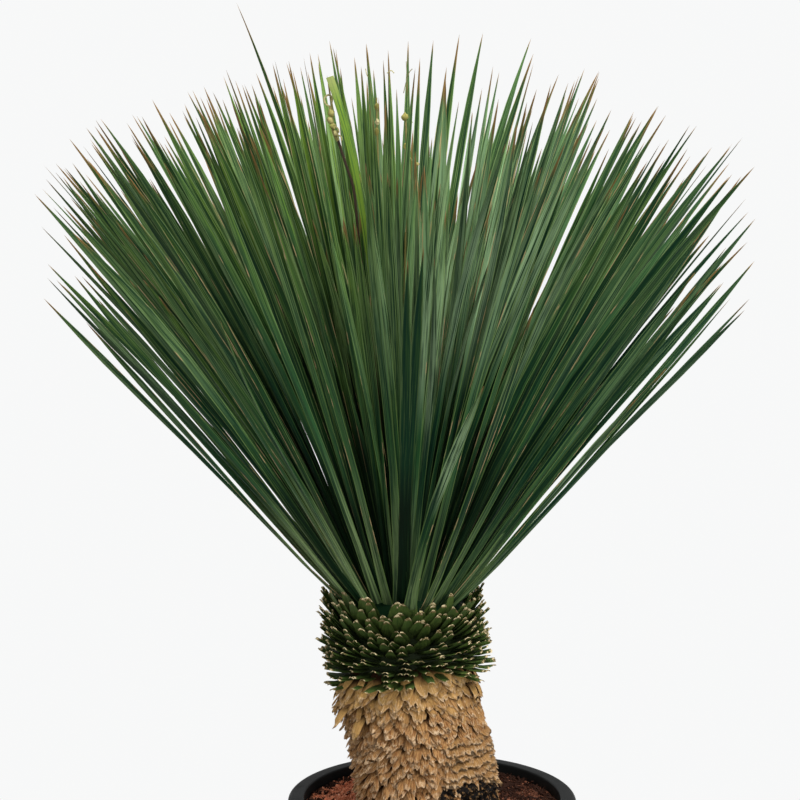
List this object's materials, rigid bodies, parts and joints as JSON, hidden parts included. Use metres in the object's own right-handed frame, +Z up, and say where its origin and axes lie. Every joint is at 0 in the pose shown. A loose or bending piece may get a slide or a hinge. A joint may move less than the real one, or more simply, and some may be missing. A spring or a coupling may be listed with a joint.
{
  "type": "potted yucca",
  "caption": "Potted yucca: a fan of stiff narrow blades on a leaning trunk wrapped in trimmed leaf bases, in a thick-rimmed pot of bark soil.",
  "frame": {"origin": "centre of the pot's flat underside, on the pot's axis", "axes": "+Z up along the pot's axis, -Y towards the front, +X to the right seen from the front; the trunk leans towards -X"},
  "size_m": [0.8674, 0.8445, 1.2729],
  "materials": {
    "pot_plastic": "satin",
    "bark_soil": "matte",
    "dry_leaf_base": "matte",
    "green_leaf_base": "matte",
    "leaf": "satin"
  },
  "bodies": {
    "root": {"pot": "pot_plastic", "soil": "bark_soil", "trunk_tan_leaf_bases": "dry_leaf_base", "green_leaf_bases": "green_leaf_base", "leaf_crown": "leaf"}
  },
  "joints": []
}
